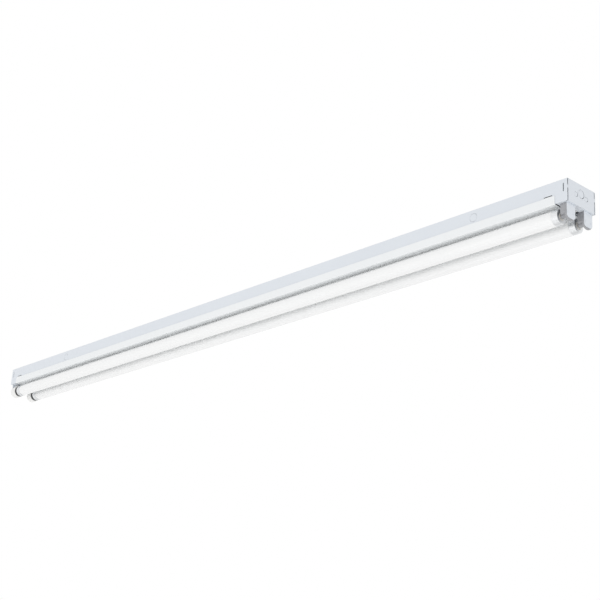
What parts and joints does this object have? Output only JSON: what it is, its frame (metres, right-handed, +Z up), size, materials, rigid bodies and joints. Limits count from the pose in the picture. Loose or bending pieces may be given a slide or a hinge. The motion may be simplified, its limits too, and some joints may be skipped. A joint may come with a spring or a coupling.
{
  "type": "fluorescent batten light",
  "caption": "Long slim ceiling batten light: a white folded steel channel with a wiring cover, and bare fluorescent lamps held below it between fixed and sprung lampholders.",
  "frame": {"origin": "centre of the channel's back on the ceiling plane, which is the centre of the four screw holes", "axes": "+X along the light towards the fixed lampholders, -Y to the front side, +Z up into the ceiling"},
  "size_m": [2.438, 0.1102, 0.1025],
  "materials": {
    "white_steel": "smooth white baked enamel on sheet steel",
    "ballast_steel": "dark grey paint on steel",
    "circuit_board": "green glass-fibre board",
    "transformer_tape": "yellow tape over the windings",
    "capacitor_sleeve": "dark sleeve",
    "zinc_steel": "zinc plated",
    "green_steel": "green screw",
    "brass": "bare stamped brass",
    "white_nylon": "natural nylon",
    "green_lead": "green insulation",
    "grey_connector": "grey ribbed cap",
    "blue_connector": "blue ribbed cap",
    "black_lead": "black insulation",
    "white_lead": "white insulation",
    "blue_lead": "blue insulation",
    "red_lead": "red insulation",
    "dark_moulding": "dark moulded thermoset",
    "white_moulding": "white moulded thermoset",
    "coated_glass": "glass with an opaque white coat inside",
    "lamp_aluminium": "drawn cap",
    "white_board": "pale moulded disc",
    "clear_glass": "clear lead glass",
    "tungsten": "coated coil"
  },
  "bodies": {
    "fixture": {"ballast_base": "ballast_steel", "ballast_board": "circuit_board", "ballast_can": "ballast_steel", "ballast_capacitors": "capacitor_sleeve", "ballast_nuts": "zinc_steel", "ballast_studs": "zinc_steel", "ballast_transformers": "transformer_tape", "black_connector": "grey_connector", "black_supply_lead": "black_lead", "blue_front_lead": "blue_lead", "blue_rear_lead": "blue_lead", "channel": "white_steel", "channel_cover": "white_steel", "fixed_end_plate": "white_steel", "fixed_end_socket_bracket": "white_steel", "front_fixed_contact": "brass", "front_fixed_lampholder": "dark_moulding", "front_plunger_spring": "zinc_steel", "front_sprung_lampholder": "white_moulding", "front_sprung_terminal": "brass", "green_connector": "green_lead", "ground_lead": "green_lead", "ground_screw": "green_steel", "ground_terminal": "brass", "lampholder_rivets": "white_steel", "lead_clips": "white_nylon", "rear_fixed_contact": "brass", "rear_fixed_lampholder": "dark_moulding", "rear_plunger_spring": "zinc_steel", "rear_sprung_lampholder": "white_moulding", "rear_sprung_terminal": "brass", "red_front_lead": "red_lead", "red_rear_lead": "red_lead", "sprung_end_plate": "white_steel", "sprung_end_socket_bracket": "white_steel", "white_connector": "blue_connector", "white_supply_lead": "white_lead"},
    "front_plunger": {"front_plunger": "dark_moulding", "front_plunger_contact": "brass"},
    "rear_plunger": {"rear_plunger": "dark_moulding", "rear_plunger_contact": "brass"},
    "front_lamp": {"front_lamp_caps": "lamp_aluminium", "front_lamp_cathodes": "tungsten", "front_lamp_insulators": "white_board", "front_lamp_pins": "brass", "front_lamp_stems": "clear_glass", "front_lamp_tube": "coated_glass"},
    "rear_lamp": {"rear_lamp_caps": "lamp_aluminium", "rear_lamp_cathodes": "tungsten", "rear_lamp_insulators": "white_board", "rear_lamp_pins": "brass", "rear_lamp_stems": "clear_glass", "rear_lamp_tube": "coated_glass"}
  },
  "joints": [
    {"name": "front_plunger_slide", "type": "slide", "parent": "fixture", "child": "front_plunger", "axis": [-1, 0, 0], "range_m": [0, 0.0095], "stiffness_N_per_m": 1200, "springref_m": -0.01, "deforming": ["front_plunger_spring"]},
    {"name": "front_lamp_turn", "type": "hinge", "parent": "front_plunger", "child": "front_lamp", "pos_m": [-1.179, -0.033, -0.0825], "axis": [1, 0, 0], "continuous": true},
    {"name": "rear_plunger_slide", "type": "slide", "parent": "fixture", "child": "rear_plunger", "axis": [-1, 0, 0], "range_m": [0, 0.0095], "stiffness_N_per_m": 1200, "springref_m": -0.01, "deforming": ["rear_plunger_spring"]},
    {"name": "rear_lamp_turn", "type": "hinge", "parent": "rear_plunger", "child": "rear_lamp", "pos_m": [-1.179, 0.033, -0.0825], "axis": [1, 0, 0], "continuous": true}
  ]
}
